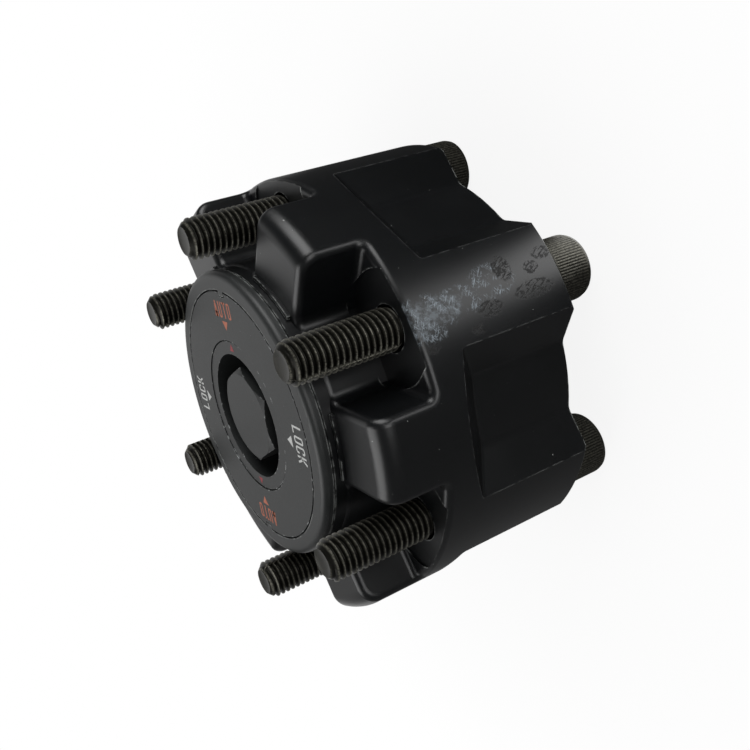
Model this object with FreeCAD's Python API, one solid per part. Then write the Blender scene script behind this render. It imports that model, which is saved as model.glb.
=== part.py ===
import FreeCAD, Part
import math
import os

os.makedirs("parts", exist_ok=True)

# Free-wheel hub for the driven front axle of an off-road car, in millimetres.
# +Z runs along the axle towards the dial. Z = 0 is the face that bolts to the wheel hub,
# and +Y is the side where the upper AUTO mark stands.

# Bolt circle and screws
bolt_count = 6
bolt_edge_distance = 8.8
bolt_thread_r = 5.0
bolt_shank_r = 4.5
bolt_thread_start_z = 42.5
bolt_length = 68.3
bolt_tip_chamfer = 1.6
bolt_tip_cup_depth = 0.3
bolt_head_r = 8.0
bolt_head_height = 10.0
bolt_head_chamfer = 0.7
bolt_socket_flats = 8.0
bolt_socket_depth = 5.5
bolt_hole_clearance = 0.5
first_bolt_angle = 90.0

# Cast body, outside
body_r = 54.8
rear_edge_chamfer = 0.8
pocket_floor_z = 42.3
spotface_r = 13.4
spotface_depth = 0.5
block_width = 19.6
nose_height = 5.5
block_front_round = 4.5
block_side_round = 1.9
pocket_corner_round = 1.6
pocket_upright_round = 3.0
ridge_width = 0.9
ridge_height = 0.9
cast_nose_r = 37.2
turned_step = 0.3
rim_height = 2.8
rim_groove_width = 0.4
rim_groove_depth = 0.6
rim_round = 1.6
front_z = 62.8

# Scallops between the bolts
scallop_depth = 7.4
scallop_half_angle = 19.0
scallop_floor_half_angle = 10.2
scallop_corner_round = 3.0
scallop_floor_end_z = 27.8
scallop_run_out_angle = 45.0
scallop_end_round = 1.5

# Rear pilot bore and face seal
pilot_r = 34.0
pilot_depth = 4.0
seal_mean_r = 36.4
seal_section_r = 1.1
seal_standout = 0.35
seal_groove_side_play = 0.1

# Bearing that carries the drive hub in the body
bearing_r = 33.0
bearing_section = 8.0
bearing_width = 6.0
bearing_rear_z = 6.6
bearing_ring_wall = 2.6
ball_count = 20
ball_r = 1.9
raceway_clearance = 0.05
cage_wall = 1.1
cage_width = 4.6
cage_pocket_clearance = 0.08
circlip_thickness = 1.0
circlip_side_play = 0.05
circlip_bite = 1.2
circlip_reach = 2.4
circlip_gap_width = 7.0
drive_circlip_reach = 1.6

# Sliding splines
body_spline_teeth = 36
body_spline_step = 0.8
body_spline_depth = 1.8
body_spline_end_z = 36.0
drive_spline_teeth = 24
drive_spline_step = 1.8
drive_spline_depth = 1.8
spline_tip_clearance = 0.2
spline_flank_clearance = 0.14
spline_flank_angle = 20.0

# Drive hub
drive_rear_z = 4.3
drive_front_z = 21.5
axle_spline_teeth = 24
axle_spline_minor_r = 13.0
axle_spline_depth = 1.4
axle_lead_in_r = 14.8
axle_lead_in_depth = 3.0
drive_shoulder_width = 1.0
return_groove_depth = 7.5

# Clutch ring, follower and springs
clutch_rear_z = 24.0
clutch_length = 11.0
clutch_web = 2.0
shift_travel = 9.0
follower_sleeve_wall = 1.8
follower_flange_r = 25.5
follower_flange_thickness = 5.0
follower_key_width = 4.0
follower_key_height = 1.6
shift_gap = 7.0
sleeve_tail = 1.5
cam_pin_r = 1.9
cam_pin_inset = 0.4
cam_slot_clearance = 0.25
cam_slot_end_relief = 0.1
shift_spring_mean_r = 21.6
shift_spring_wire = 1.6
shift_spring_turns = 2.5
return_spring_mean_r = 21.7
return_spring_wire = 1.4
return_spring_turns = 4.5
return_groove_clearance = 0.2
spring_seat_gap = 0.03

# Dial and label
dial_r = 19.6
dial_recess_r = 16.3
dial_recess_floor_z = 52.5
dial_drop = 0.2
dial_clearance = 0.08
dial_flange_r = 22.9
dial_flange_thickness = 3.2
dial_floor_thickness = 3.3
dial_end_play = 0.2
dial_turn_angle = 90.0
hex_flats = 22.0
hex_drop = 0.3
hex_chamfer_r = 11.1
hex_chamfer_drop = 0.9
barrel_r = 16.6
barrel_wall = 3.6
barrel_end_below_slot = 4.0
sleeve_to_barrel = 0.3
dial_seal_z = 57.9
dial_seal_section_r = 0.85
dial_seal_gap = 0.03
dial_seal_side_play = 0.15
label_r = 32.3
label_thickness = 1.2
label_gap = 0.45
label_hole_clearance = 0.3
label_notch_depth = 0.9
label_notch_width = 2.6
label_notch_shift_angle = 2.3
label_key_clearance = 0.25
nose_wall_z = 54.6
flange_bore_clearance = 0.5
shift_chamber_r = 28.0
shift_chamber_end_z = 47.5
detent_ball_r = 1.2
detent_circle_r = 21.3
detent_groove_clearance = 0.1
detent_sink = 0.75
detent_dimple_extra = 0.2
detent_dimple_sink = 0.15
detent_hole_clearance = 0.1
detent_hole_top_z = 60.4
detent_spring_wire = 0.4
detent_spring_gap = 0.1
detent_spring_turns = 5
detent_angle = 45.0

# How far cutting shapes run past the surface that they cut, and how near counts as the same place
tiny = 0.001
past = 1.0
far_past = 10.0

# Sizes worked out from the ones above
step_angle = 360.0 / bolt_count
bolt_circle_r = body_r - bolt_edge_distance
scallop_floor_r = body_r - scallop_depth
block_front_z = front_z - nose_height
rim_step_z = front_z - rim_height
turned_nose_r = cast_nose_r - turned_step
rim_r = cast_nose_r - turned_step / 3
bearing_bore_r = bearing_r - bearing_section
body_spline_major_r = bearing_r - body_spline_step
drive_spline_major_r = bearing_bore_r + drive_spline_step
bolt_hole_r = bolt_thread_r + bolt_hole_clearance
ridge_r = cast_nose_r + ridge_width
label_seat_z = front_z - label_thickness
body_spline_minor_r = body_spline_major_r - body_spline_depth
drive_spline_minor_r = drive_spline_major_r - drive_spline_depth
clutch_front_z = clutch_rear_z + clutch_length
follower_rear_z = clutch_front_z + shift_gap
follower_front_z = follower_rear_z + follower_flange_thickness
follower_bore_r = barrel_r + sleeve_to_barrel
follower_sleeve_r = follower_bore_r + follower_sleeve_wall
cam_pin_z = follower_rear_z + follower_flange_thickness / 2
barrel_rear_z = cam_pin_z - shift_travel - barrel_end_below_slot
dial_front_z = front_z - dial_drop
dial_flange_top_z = nose_wall_z - dial_end_play
dial_flange_rear_z = dial_flange_top_z - dial_flange_thickness
bearing_front_z = bearing_rear_z + bearing_width
bearing_middle_z = bearing_rear_z + bearing_width / 2
ball_circle_r = (bearing_r + bearing_bore_r) / 2
circlip_rear_z = bearing_rear_z - circlip_thickness - circlip_side_play
clutch_bore_r = follower_sleeve_r + sleeve_to_barrel
return_groove_floor_z = drive_front_z - return_groove_depth
detent_ball_z = dial_flange_top_z - detent_sink + detent_ball_r


def vec(x, y, z):
    return FreeCAD.Vector(x, y, z)


def polar(radius, angle, z=0.0):
    """Point at a radius and an angle in degrees about the axle."""
    turn = math.radians(angle)
    return vec(radius * math.cos(turn), radius * math.sin(turn), z)


def turned(outline):
    """Solid of revolution about Z of a closed outline of (radius, z) points."""
    points = [vec(radius, 0, z) for radius, z in outline]
    face = Part.Face(Part.makePolygon(points + points[:1]))
    return face.revolve(vec(0, 0, 0), vec(0, 0, 1), 360)


def disc(radius, z_low, z_high):
    return Part.makeCylinder(radius, z_high - z_low, vec(0, 0, z_low))


def ring(inner_r, outer_r, z_low, z_high):
    return disc(outer_r, z_low, z_high).cut(disc(inner_r, z_low - past, z_high + past))


def torus(mean_r, section_r, z):
    return Part.makeTorus(mean_r, section_r, vec(0, 0, z))


def bar(length_x, length_y, z_low, z_high, start_x):
    """Block that starts at start_x, is centred on Y and stands between two heights."""
    corner = vec(start_x, -length_y / 2, z_low)
    return Part.makeBox(length_x, length_y, z_high - z_low, corner)


def spin(shape, angle):
    """Copy of a shape, turned about the axle."""
    copy = shape.copy()
    copy.rotate(vec(0, 0, 0), vec(0, 0, 1), angle)
    return copy


def around(shape, count, start_angle):
    """Equal copies of a shape round the axle."""
    return [spin(shape, start_angle + 360.0 * index / count) for index in range(count)]


def toothed_disc(major_r, minor_r, teeth, z_low, z_high, side_play=0.0):
    """Disc with straight-flanked teeth that are half a pitch wide, less the side play."""
    pitch = 360.0 / teeth
    middle_r = (major_r + minor_r) / 2
    play = math.degrees(side_play / middle_r)
    flank_slope = math.tan(math.radians(spline_flank_angle))
    lean = math.degrees((major_r - minor_r) * flank_slope / middle_r) / 2
    tip = pitch / 4 - lean - play
    foot = pitch / 4 + lean - play
    edges = []
    for tooth in range(teeth):
        centre = tooth * pitch
        rise = [polar(minor_r, centre - foot), polar(major_r, centre - tip)]
        fall = [polar(major_r, centre + tip), polar(minor_r, centre + foot)]
        next_foot = polar(minor_r, centre + pitch - foot)
        edges.append(Part.makeLine(rise[0], rise[1]))
        edges.append(Part.Arc(rise[1], polar(major_r, centre), fall[0]).toShape())
        edges.append(Part.makeLine(fall[0], fall[1]))
        edges.append(Part.Arc(fall[1], polar(minor_r, centre + pitch / 2), next_foot).toShape())
    face = Part.Face(Part.Wire(edges))
    face.translate(vec(0, 0, z_low))
    return face.extrude(vec(0, 0, z_high - z_low))


def square_section(mean_r, radial, axial):
    """Upright rectangle, centred at a radius, to be carried along a helix."""
    inner_r = mean_r - radial / 2
    outer_r = mean_r + radial / 2
    return Part.makePolygon([
        vec(inner_r, 0, -axial / 2),
        vec(outer_r, 0, -axial / 2),
        vec(outer_r, 0, axial / 2),
        vec(inner_r, 0, axial / 2),
        vec(inner_r, 0, -axial / 2),
    ])


def coil(mean_r, wire, turns, z_low, z_high):
    """Open coil spring of square wire that stands between two seats."""
    height = z_high - z_low - wire - 2 * spring_seat_gap
    helix = Part.makeHelix(height / turns, height, mean_r)
    section = square_section(mean_r, wire, wire)
    spring = Part.Wire(helix.Edges).makePipeShell([section], True, True)
    spring.translate(vec(0, 0, z_low + wire / 2 + spring_seat_gap))
    return spring


def hexagon(flats, z_low, z_high, corner_angle=0.0):
    """Six-sided prism with one corner at a given angle."""
    corner_r = flats / 2 / math.cos(math.radians(30))
    points = [polar(corner_r, corner_angle + 60 * index, z_low) for index in range(7)]
    return Part.Face(Part.makePolygon(points)).extrude(vec(0, 0, z_high - z_low))


def split_ring(inner_r, outer_r, z_low, gap_angle):
    """Spring-steel retaining ring with its gap at a given angle."""
    whole = ring(inner_r, outer_r, z_low, z_low + circlip_thickness)
    z_high = z_low + circlip_thickness + past
    gap = bar(outer_r + past, circlip_gap_width, z_low - past, z_high, 0)
    return whole.cut(spin(gap, gap_angle))


def circlip_groove(inner_r, outer_r, z_low):
    top = z_low + circlip_thickness + circlip_side_play
    return ring(inner_r, outer_r, z_low - circlip_side_play, top)


def save(name, shape):
    shape.exportStep("parts/" + name + ".step")


def casting_blank():
    """Plain disc of the casting with its rear chamfer and its rounded front edge."""
    corner = block_front_round * (1 - math.sqrt(0.5))
    round_z = block_front_z - block_front_round
    flank_foot = vec(body_r, 0, rear_edge_chamfer)
    flank_top = vec(body_r, 0, round_z)
    front_rim = vec(body_r - block_front_round, 0, block_front_z)
    on_round = vec(body_r - corner, 0, block_front_z - corner)
    edges = [
        Part.makeLine(vec(0, 0, 0), vec(body_r - rear_edge_chamfer, 0, 0)),
        Part.makeLine(vec(body_r - rear_edge_chamfer, 0, 0), flank_foot),
        Part.makeLine(flank_foot, flank_top),
        Part.Arc(flank_top, on_round, front_rim).toShape(),
        Part.makeLine(front_rim, vec(0, 0, block_front_z)),
        Part.makeLine(vec(0, 0, block_front_z), vec(0, 0, 0)),
    ]
    return Part.Face(Part.Wire(edges)).revolve(vec(0, 0, 0), vec(0, 0, 1), 360)


def pocket_prism(z_low, z_high):
    """Space between two neighbouring blocks, from the nose out past the rim."""
    side = block_width / 2
    reach = math.sqrt(cast_nose_r ** 2 - side ** 2)
    half_step = math.radians(step_angle / 2)
    along = vec(math.cos(half_step), math.sin(half_step), 0)
    inward = vec(math.sin(half_step), -math.cos(half_step), 0)
    near = along * reach + inward * side
    far = along * (body_r + far_past) + inward * side
    near_mirror = vec(near.x, -near.y, 0)
    far_mirror = vec(far.x, -far.y, 0)
    edges = [
        Part.Arc(near_mirror, vec(cast_nose_r, 0, 0), near).toShape(),
        Part.makeLine(near, far),
        Part.makeLine(far, far_mirror),
        Part.makeLine(far_mirror, near_mirror),
    ]
    face = Part.Face(Part.Wire(edges))
    face.translate(vec(0, 0, z_low))
    return face.extrude(vec(0, 0, z_high - z_low))


def pocket_cutter():
    """Pocket with rounded inner corners and a rounded foot, as the casting leaves it."""
    prism = pocket_prism(pocket_floor_z, front_z)
    uprights = []
    for edge in prism.Edges:
        middle = edge.valueAt((edge.FirstParameter + edge.LastParameter) / 2)
        upright = edge.BoundBox.ZLength > pocket_corner_round
        if upright and math.hypot(middle.x, middle.y) < body_r:
            uprights.append(edge)
    prism = prism.makeFillet(pocket_upright_round, uprights)
    foot = []
    for edge in prism.Edges:
        box = edge.BoundBox
        if box.ZMax < pocket_floor_z + tiny and box.XMin < body_r:
            foot.append(edge)
    return prism.makeFillet(pocket_corner_round, foot)


def scallop_cutter():
    """One scallop: a rounded trough, open at the rear, with a sloped end in front."""
    outer_r = body_r + far_past
    floor_low = polar(scallop_floor_r, -scallop_floor_half_angle)
    floor_high = polar(scallop_floor_r, scallop_floor_half_angle)
    rim_low = polar(body_r, -scallop_half_angle)
    rim_high = polar(body_r, scallop_half_angle)
    reach = far_past / (body_r - scallop_floor_r)
    far_low = rim_low + (rim_low - floor_low) * reach
    far_high = rim_high + (rim_high - floor_high) * reach
    edges = [
        Part.Arc(floor_low, vec(scallop_floor_r, 0, 0), floor_high).toShape(),
        Part.makeLine(floor_high, far_high),
        Part.makeLine(far_high, far_low),
        Part.makeLine(far_low, floor_low),
    ]
    rise = 1 / math.tan(math.radians(scallop_run_out_angle))
    end_z = scallop_floor_end_z + (outer_r - scallop_floor_r) * rise
    face = Part.Face(Part.Wire(edges))
    face.translate(vec(0, 0, -past))
    trough = face.extrude(vec(0, 0, end_z + past))
    corners = []
    for edge in trough.Edges:
        box = edge.BoundBox
        upright = box.ZLength > end_z and box.XLength < tiny
        if upright and abs(math.hypot(box.XMin, box.YMin) - scallop_floor_r) < tiny:
            corners.append(edge)
    trough = trough.makeFillet(scallop_corner_round, corners)
    trough = trough.cut(beyond_run_out(outer_r, end_z, rise))
    foot = []
    for edge in trough.Edges:
        ends = [vertex.Point for vertex in edge.Vertexes]
        in_plane = all(abs(p.z - run_out_height(p.x, rise)) < tiny for p in ends)
        if in_plane and edge.BoundBox.XMin < body_r:
            foot.append(edge)
    return trough.makeFillet(scallop_end_round, foot)


def run_out_height(x, rise):
    """Height of the scallop's flat sloping end at a distance along the scallop's middle."""
    return scallop_floor_end_z + (x - scallop_floor_r) * rise


def beyond_run_out(outer_r, end_z, rise):
    """Space in front of the scallop's sloping end."""
    near_x = scallop_floor_r - far_past
    far_x = outer_r + past
    points = [
        vec(near_x, -outer_r, run_out_height(near_x, rise)),
        vec(far_x, -outer_r, run_out_height(far_x, rise)),
        vec(far_x, -outer_r, end_z + far_past),
        vec(near_x, -outer_r, end_z + far_past),
    ]
    return Part.Face(Part.makePolygon(points + points[:1])).extrude(vec(0, 2 * outer_r, 0))


def outer_casting():
    """The body from outside, before machining: six pockets in front and six scallops behind."""
    casting = casting_blank()
    casting = casting.cut(around(pocket_cutter(), bolt_count, first_bolt_angle))
    rims = []
    for edge in casting.Edges:
        middle = edge.valueAt((edge.FirstParameter + edge.LastParameter) / 2)
        away = math.hypot(middle.x, middle.y) - (body_r - block_front_round)
        on_top = abs(middle.z - block_front_z) < tiny
        rounded_end = away > tiny and middle.z > pocket_floor_z + tiny
        if (on_top or rounded_end) and not edge.Closed and abs(away) > tiny:
            rims.append(edge)
    casting = casting.makeFillet(block_side_round, rims)
    scallops = around(scallop_cutter(), bolt_count, first_bolt_angle + step_angle / 2)
    return casting.cut(scallops)


def turned_nose():
    """The machined end of the nose, with its step and its rounded rim round the label."""
    nose = turned([
        (0, block_front_z - past),
        (turned_nose_r, block_front_z - past),
        (turned_nose_r, rim_step_z - rim_groove_width),
        (rim_r - rim_groove_depth, rim_step_z - rim_groove_width),
        (rim_r - rim_groove_depth, rim_step_z),
        (rim_r, rim_step_z),
        (rim_r, front_z),
        (0, front_z),
    ])
    rim = []
    for edge in nose.Edges:
        if edge.Closed and abs(edge.BoundBox.ZMin - front_z) < tiny:
            rim.append(edge)
    return nose.makeFillet(rim_round, rim)


def label_notches(extra=0.0):
    """The two keys on the rim that stop the label from turning."""
    depth = label_notch_depth + extra
    key = bar(depth + past, label_notch_width + 2 * extra, label_seat_z, front_z, label_r - depth)
    start = first_bolt_angle - label_notch_shift_angle
    return around(key, 2, start)


def hub_body():
    """Cast body, bored for the bearing and the dial and broached for the clutch ring."""
    body = outer_casting()
    body = body.fuse(turned_nose())
    ridge_top = block_front_z + ridge_height
    ridge_arc = ring(cast_nose_r, ridge_r, block_front_z - past, ridge_top)
    flat_width = block_width - 2 * block_side_round
    keep = bar(body_r, flat_width, block_front_z - past, ridge_top, 0)
    ridges = around(ridge_arc.common(keep), bolt_count, first_bolt_angle + step_angle / 2)
    body = body.fuse(ridges)

    bore = turned([
        (0, -past),
        (pilot_r, -past),
        (pilot_r, pilot_depth),
        (bearing_r, pilot_depth),
        (bearing_r, bearing_front_z),
        (body_spline_minor_r, bearing_front_z),
        (body_spline_minor_r, body_spline_end_z),
        (shift_chamber_r, body_spline_end_z),
        (shift_chamber_r, shift_chamber_end_z),
        (dial_flange_r + flange_bore_clearance, shift_chamber_end_z),
        (dial_flange_r + flange_bore_clearance, nose_wall_z),
        (dial_r + dial_clearance, nose_wall_z),
        (dial_r + dial_clearance, front_z + past),
        (0, front_z + past),
    ])
    broach = toothed_disc(
        body_spline_major_r, body_spline_minor_r, body_spline_teeth, bearing_front_z, body_spline_end_z
    )
    label_seat = disc(label_r + label_gap, label_seat_z, front_z + past)
    for key in label_notches():
        label_seat = label_seat.cut(key)
    seal_depth = 2 * seal_section_r - seal_standout
    seal_half = seal_section_r + seal_groove_side_play
    seal_groove = ring(seal_mean_r - seal_half, seal_mean_r + seal_half, -past, seal_depth)
    rear_clip = circlip_groove(bearing_r - past, bearing_r + circlip_bite, circlip_rear_z)
    dial_clip_r = dial_flange_r + flange_bore_clearance
    dial_clip = circlip_groove(dial_clip_r - past, dial_clip_r + circlip_bite, dial_clip_rear_z())
    body = body.cut([bore, broach, label_seat, seal_groove, rear_clip, dial_clip])

    hole = Part.makeCylinder(bolt_hole_r, pocket_floor_z + past, vec(bolt_circle_r, 0, -past))
    spot_z = pocket_floor_z - spotface_depth
    spot_height = spotface_depth + pocket_corner_round
    spotface = Part.makeCylinder(spotface_r, spot_height, vec(bolt_circle_r, 0, spot_z))
    spotface = spotface.common(pocket_prism(spot_z, spot_z + spot_height))
    body = body.cut(around(hole.fuse(spotface), bolt_count, first_bolt_angle))

    pit_height = detent_hole_top_z - nose_wall_z + past
    pit_r = detent_ball_r + detent_hole_clearance
    pit_foot = polar(detent_circle_r, detent_angle, nose_wall_z - past)
    pit = Part.makeCylinder(pit_r, pit_height, pit_foot)
    return body.cut(pit).removeSplitter()


def dial_clip_rear_z():
    return dial_flange_rear_z - circlip_thickness - circlip_side_play


def flange_bolts():
    """Six socket screws, pushed in from the rear face so that their threads stand out in front."""
    tip_r = bolt_thread_r - bolt_tip_chamfer
    screw = turned([
        (0, -bolt_head_height),
        (bolt_head_r - bolt_head_chamfer, -bolt_head_height),
        (bolt_head_r, bolt_head_chamfer - bolt_head_height),
        (bolt_head_r, 0),
        (bolt_shank_r, 0),
        (bolt_shank_r, bolt_thread_start_z),
        (bolt_thread_r, bolt_thread_start_z),
        (bolt_thread_r, bolt_length - bolt_tip_chamfer),
        (tip_r, bolt_length),
        (0, bolt_length - bolt_tip_cup_depth),
    ])
    socket_floor_z = bolt_socket_depth - bolt_head_height
    socket = hexagon(bolt_socket_flats, -bolt_head_height - past, socket_floor_z)
    screw = screw.cut(socket)
    screw.translate(vec(bolt_circle_r, 0, 0))
    return Part.makeCompound(around(screw, bolt_count, first_bolt_angle))


def label_plate():
    hole_r = dial_r + label_hole_clearance
    plate = ring(hole_r, label_r, label_seat_z, front_z)
    return plate.cut(label_notches(label_key_clearance))


def rear_seal():
    return torus(seal_mean_r, seal_section_r, seal_section_r - seal_standout)


def helical_slot():
    """Slot that turns the dial's quarter turn into the shift travel of the follower."""
    lead = shift_travel * 360.0 / dial_turn_angle
    middle_r = barrel_r - barrel_wall / 2
    slope = math.atan(lead / (2 * math.pi * middle_r))
    cut_r = cam_pin_r + cam_slot_clearance
    depth = barrel_wall + 2 * past
    helix = Part.makeHelix(lead, shift_travel, middle_r)
    section = square_section(middle_r, depth, 2 * cut_r / math.cos(slope))
    slot = Part.Wire(helix.Edges).makePipeShell([section], True, True)
    end_r = cut_r + cam_slot_end_relief
    start = Part.makeCylinder(end_r, depth, vec(middle_r - depth / 2, 0, 0), vec(1, 0, 0))
    start.rotate(vec(0, 0, 0), vec(1, 0, 0), 90)
    end = spin(start, dial_turn_angle)
    end.translate(vec(0, 0, shift_travel))
    right_hand = slot.fuse([start, end])
    left_hand = right_hand.mirror(vec(0, 0, 0), vec(0, 1, 0))
    left_hand.translate(vec(0, 0, cam_pin_z - shift_travel))
    return spin(left_hand, dial_turn_angle)


def selector_dial():
    """Dial with its ring, hexagon and slotted cam barrel, in one piece."""
    inner_r = barrel_r - barrel_wall
    dial = turned([
        (0, dial_recess_floor_z),
        (dial_recess_r, dial_recess_floor_z),
        (dial_recess_r, dial_front_z),
        (dial_r, dial_front_z),
        (dial_r, dial_flange_top_z),
        (dial_flange_r, dial_flange_top_z),
        (dial_flange_r, dial_flange_rear_z),
        (barrel_r, dial_flange_rear_z),
        (barrel_r, barrel_rear_z),
        (inner_r, barrel_rear_z),
        (inner_r, dial_recess_floor_z - dial_floor_thickness),
        (0, dial_recess_floor_z - dial_floor_thickness),
    ])
    hex_top = front_z - hex_drop
    corner_r = hex_flats / 2 / math.cos(math.radians(30))
    drop = hex_chamfer_drop * (corner_r + past - hex_chamfer_r) / (corner_r - hex_chamfer_r)
    crown = turned([
        (0, dial_recess_floor_z - past),
        (corner_r + past, dial_recess_floor_z - past),
        (corner_r + past, hex_top - drop),
        (hex_chamfer_r, hex_top),
        (0, hex_top),
    ])
    boss = hexagon(hex_flats, dial_recess_floor_z - past, hex_top, first_bolt_angle).common(crown)
    dial = dial.fuse(boss)
    seal_half = dial_seal_section_r + dial_seal_side_play
    seal_floor_r = dial_seal_mean_r() - dial_seal_section_r
    seal_groove = ring(seal_floor_r, dial_r + past, dial_seal_z - seal_half, dial_seal_z + seal_half)
    dial = dial.cut(seal_groove)
    dial = dial.cut(around(helical_slot(), 2, 0))
    for cutter in detent_track():
        dial = dial.cut(cutter)
    return dial.removeSplitter()


def detent_track():
    """Quarter-turn groove for the detent ball, and the wider dimples at its two ends."""
    groove_r = detent_ball_r + detent_groove_clearance
    circle = Part.makeCircle(groove_r, polar(detent_circle_r, 0, detent_ball_z), vec(0, 1, 0))
    face = Part.Face(Part.Wire(circle))
    groove = face.revolve(vec(0, 0, 0), vec(0, 0, 1), dial_turn_angle)
    cutters = [spin(groove, detent_angle)]
    for angle in (detent_angle, detent_angle + dial_turn_angle):
        place = polar(detent_circle_r, angle, detent_ball_z - detent_dimple_sink)
        cutters.append(Part.makeSphere(groove_r + detent_dimple_extra, place))
    return cutters


def dial_seal_mean_r():
    return dial_r + dial_clearance - dial_seal_gap - dial_seal_section_r


def dial_seal():
    return torus(dial_seal_mean_r(), dial_seal_section_r, dial_seal_z)


def dial_circlip():
    bore_r = dial_flange_r + flange_bore_clearance
    outer_r = bore_r + circlip_bite - circlip_side_play
    return split_ring(bore_r - circlip_reach, outer_r, dial_clip_rear_z(), first_bolt_angle)


def detent_ball():
    return Part.makeSphere(detent_ball_r, polar(detent_circle_r, detent_angle, detent_ball_z))


def detent_spring():
    mean_r = detent_ball_r - detent_spring_wire
    seat_height = math.sqrt(detent_ball_r ** 2 - mean_r ** 2)
    z_low = detent_ball_z + seat_height + detent_spring_gap
    spring = coil(mean_r, detent_spring_wire, detent_spring_turns, z_low, detent_hole_top_z)
    spring.translate(polar(detent_circle_r, detent_angle))
    return spring


def bearing_outer_ring():
    inner_r = bearing_r - bearing_ring_wall
    race = ring(inner_r, bearing_r, bearing_rear_z, bearing_front_z)
    return race.cut(torus(ball_circle_r, ball_r + raceway_clearance, bearing_middle_z))


def bearing_inner_ring():
    outer_r = bearing_bore_r + bearing_ring_wall
    race = ring(bearing_bore_r, outer_r, bearing_rear_z, bearing_front_z)
    return race.cut(torus(ball_circle_r, ball_r + raceway_clearance, bearing_middle_z))


def bearing_balls():
    ball = Part.makeSphere(ball_r, vec(ball_circle_r, 0, bearing_middle_z))
    return Part.makeCompound(around(ball, ball_count, 0))


def bearing_cage():
    z_low = bearing_middle_z - cage_width / 2
    cage = ring(ball_circle_r - cage_wall / 2, ball_circle_r + cage_wall / 2, z_low, z_low + cage_width)
    pocket_r = ball_r + cage_pocket_clearance
    pocket = Part.makeCylinder(
        pocket_r, 4 * cage_wall, vec(ball_circle_r - 2 * cage_wall, 0, bearing_middle_z), vec(1, 0, 0)
    )
    return cage.cut(around(pocket, ball_count, 0))


def bearing_circlip():
    outer_r = bearing_r + circlip_bite - circlip_side_play
    return split_ring(bearing_r - circlip_reach, outer_r, circlip_rear_z, first_bolt_angle)


def drive_circlip():
    inner_r = bearing_bore_r - circlip_bite + circlip_side_play
    outer_r = bearing_bore_r + drive_circlip_reach
    return split_ring(inner_r, outer_r, circlip_rear_z, -first_bolt_angle)


def drive_hub():
    """Inner hub, splined inside for the axle shaft and toothed outside for the clutch ring."""
    journal = disc(bearing_bore_r, drive_rear_z, bearing_front_z)
    gear = toothed_disc(
        drive_spline_major_r - spline_tip_clearance,
        drive_spline_minor_r - spline_tip_clearance,
        drive_spline_teeth,
        bearing_front_z,
        drive_front_z,
        spline_flank_clearance,
    )
    shoulder_r = bearing_bore_r + bearing_ring_wall / 2
    shoulder = disc(shoulder_r, bearing_front_z, bearing_front_z + drive_shoulder_width)
    axle_bore = toothed_disc(
        axle_spline_minor_r + axle_spline_depth,
        axle_spline_minor_r,
        axle_spline_teeth,
        drive_rear_z - past,
        drive_front_z + past,
    )
    lead_in = disc(axle_lead_in_r, drive_rear_z - past, drive_rear_z + axle_lead_in_depth)
    half = return_spring_wire / 2 + return_groove_clearance
    groove_top_z = drive_front_z + past
    groove = ring(
        return_spring_mean_r - half, return_spring_mean_r + half, return_groove_floor_z, groove_top_z
    )
    clip = circlip_groove(bearing_bore_r - circlip_bite, bearing_bore_r + past, circlip_rear_z)
    return journal.fuse([gear, shoulder]).cut([axle_bore, lead_in, groove, clip]).removeSplitter()


def return_spring():
    z_high = clutch_front_z - clutch_web
    return coil(
        return_spring_mean_r, return_spring_wire, return_spring_turns, return_groove_floor_z, z_high
    )


def clutch_ring():
    """Sliding ring: always in the body's splines, and over the drive hub's teeth when locked."""
    blank = toothed_disc(
        body_spline_major_r - spline_tip_clearance,
        body_spline_minor_r - spline_tip_clearance,
        body_spline_teeth,
        clutch_rear_z,
        clutch_front_z,
        spline_flank_clearance,
    )
    teeth = toothed_disc(
        drive_spline_major_r,
        drive_spline_minor_r,
        drive_spline_teeth,
        clutch_rear_z - past,
        clutch_front_z - clutch_web,
    )
    bore = disc(clutch_bore_r, clutch_rear_z, clutch_front_z + past)
    return blank.cut([teeth, bore] + follower_keys(sleeve_to_barrel))


def follower_keys(extra=0.0):
    """Two keys on the follower's sleeve that pass through the clutch ring's web."""
    z_low = clutch_front_z - clutch_web - extra
    length = follower_sleeve_r + follower_key_height + extra
    key = bar(length, follower_key_width + 2 * extra, z_low, follower_rear_z, 0)
    bore = disc(follower_bore_r, z_low - past, follower_rear_z + past)
    return around(key.cut(bore), 2, 0)


def shift_follower():
    """Flanged sleeve round the dial's barrel, which carries the two cam pins."""
    tail_z = clutch_front_z - clutch_web - sleeve_tail - circlip_thickness
    sleeve = turned([
        (follower_bore_r, tail_z),
        (follower_sleeve_r, tail_z),
        (follower_sleeve_r, follower_rear_z),
        (follower_flange_r, follower_rear_z),
        (follower_flange_r, follower_front_z),
        (follower_bore_r, follower_front_z),
    ])
    clip_z = clutch_front_z - clutch_web - circlip_thickness
    clip = circlip_groove(follower_clip_r(), follower_sleeve_r + past, clip_z)
    sleeve = sleeve.fuse(follower_keys()).cut(clip)
    return sleeve.cut(cam_pin_pair(past)).removeSplitter()


def follower_clip_r():
    return follower_sleeve_r - follower_sleeve_wall / 2


def cam_pin_pair(extra=0.0):
    inner_r = barrel_r - barrel_wall + cam_pin_inset
    length = follower_flange_r + extra - inner_r
    pin = Part.makeCylinder(cam_pin_r, length, vec(inner_r, 0, cam_pin_z), vec(1, 0, 0))
    return around(pin, 2, 0)


def cam_pins():
    rounded = disc(follower_flange_r, cam_pin_z - cam_pin_r, cam_pin_z + cam_pin_r)
    return Part.makeCompound([pin.common(rounded) for pin in cam_pin_pair()])


def follower_circlip():
    clip_z = clutch_front_z - clutch_web - circlip_thickness
    outer_r = return_spring_mean_r - return_spring_wire / 2 - sleeve_to_barrel
    return split_ring(follower_clip_r(), outer_r, clip_z, first_bolt_angle)


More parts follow.
